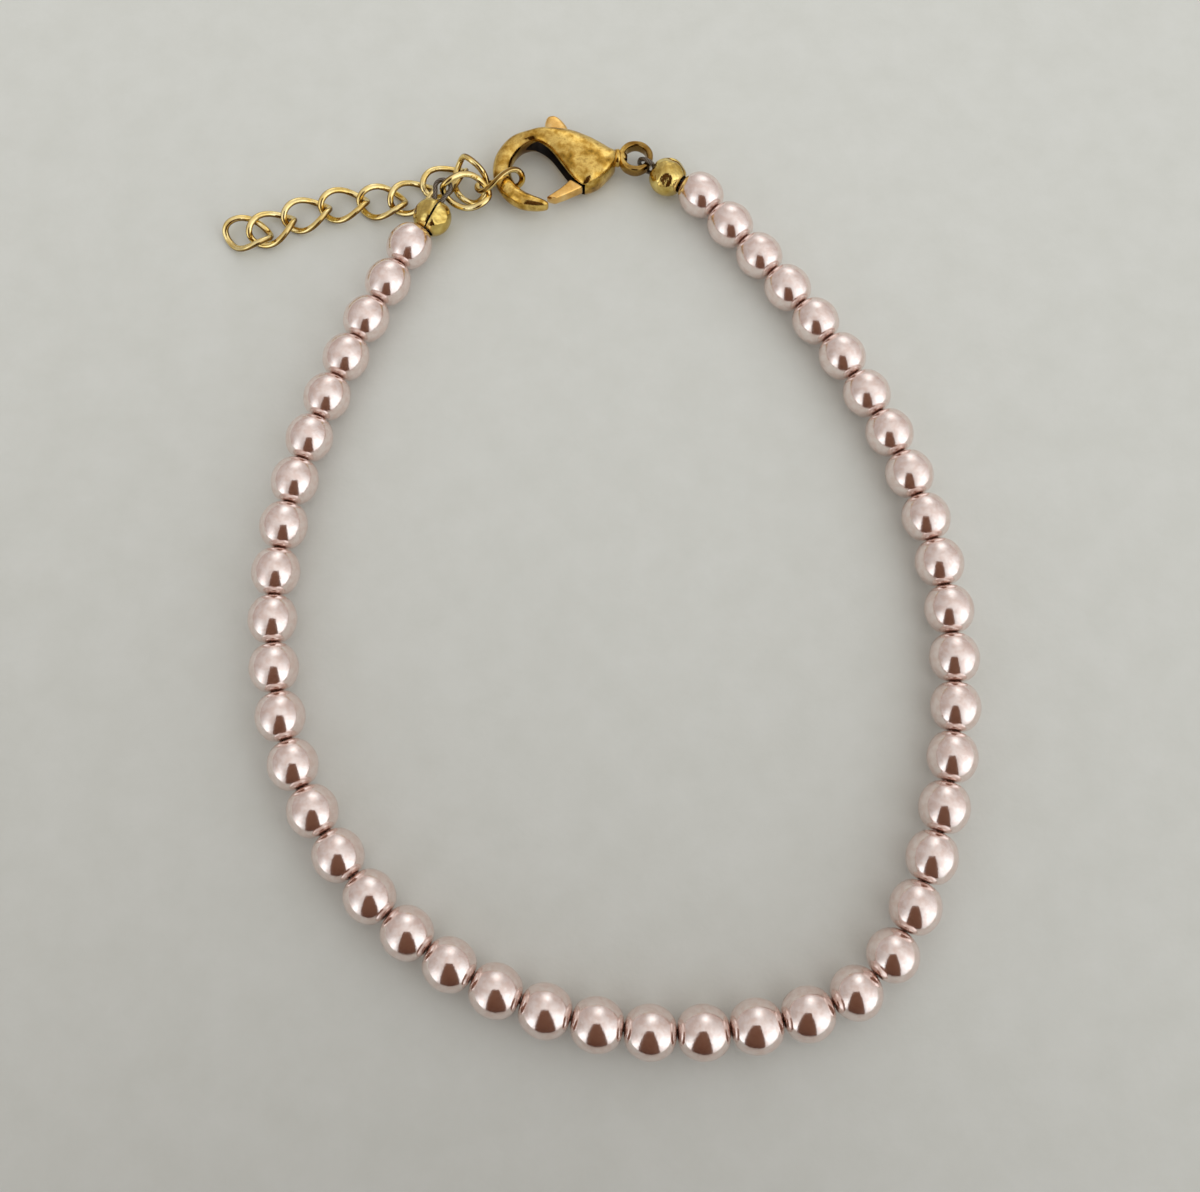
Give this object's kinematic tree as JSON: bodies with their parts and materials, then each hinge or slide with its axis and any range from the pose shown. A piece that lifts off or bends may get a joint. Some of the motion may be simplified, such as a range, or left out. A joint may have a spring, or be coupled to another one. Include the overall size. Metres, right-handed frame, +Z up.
{
  "type": "pearl anklet",
  "caption": "Strand of small pearls on beading wire, closed by a lobster clasp hooked into a short curb extension chain, lying flat as an open loop.",
  "frame": {"origin": "middle of the outline, on the surface that the anklet lies on", "axes": "+Z up from the surface, +Y along the loop towards the clasp, +X to the clasp-ring side, away from the free end of the chain"},
  "size_m": [0.066, 0.081, 0.004],
  "materials": {
    "pearl": "glass core under pale pink pearl lacquer, glossy with a soft lustre",
    "link": "pale gold plate, bright",
    "cover": "pale gold plate, polished, with small plier dents",
    "wire": "fine stranded steel under a clear nylon coat",
    "clasp": "gold plate worn to satin, blotched and slightly pitted",
    "lever": "satin gold plate, paler than the body"
  },
  "bodies": {
    "anklet": {"pearl_01": "pearl", "pearl_02": "pearl", "pearl_03": "pearl", "pearl_04": "pearl", "pearl_05": "pearl", "pearl_06": "pearl", "pearl_07": "pearl", "pearl_08": "pearl", "pearl_09": "pearl", "pearl_10": "pearl", "pearl_11": "pearl", "pearl_12": "pearl", "pearl_13": "pearl", "pearl_14": "pearl", "pearl_15": "pearl", "pearl_16": "pearl", "pearl_17": "pearl", "pearl_18": "pearl", "pearl_19": "pearl", "pearl_20": "pearl", "pearl_21": "pearl", "pearl_22": "pearl", "pearl_23": "pearl", "pearl_24": "pearl", "pearl_25": "pearl", "pearl_26": "pearl", "pearl_27": "pearl", "pearl_28": "pearl", "pearl_29": "pearl", "pearl_30": "pearl", "pearl_31": "pearl", "pearl_32": "pearl", "pearl_33": "pearl", "pearl_34": "pearl", "pearl_35": "pearl", "pearl_36": "pearl", "pearl_37": "pearl", "pearl_38": "pearl", "pearl_39": "pearl", "pearl_40": "pearl", "pearl_41": "pearl", "pearl_42": "pearl", "pearl_43": "pearl", "pearl_44": "pearl", "pearl_45": "pearl", "link_01": "link", "link_02": "link", "link_03": "link", "link_04": "link", "link_05": "link", "link_06": "link", "link_07": "link", "link_08": "link", "link_09": "link", "link_10": "link", "crimp_cover_chain_side": "cover", "crimp_cover_clasp_side": "cover", "bead_wire": "wire", "clasp_body": "clasp"},
    "lever": {"clasp_lever": "lever"}
  },
  "joints": [
    {"name": "clasp_lever_hinge", "type": "hinge", "parent": "anklet", "child": "lever", "pos_m": [0.00069, 0.03489, 0.00165], "axis": [0, 0, -1], "range_deg": [0, 25], "stiffness_Nm_per_rad": 0.006, "springref_deg": -20.05}
  ]
}
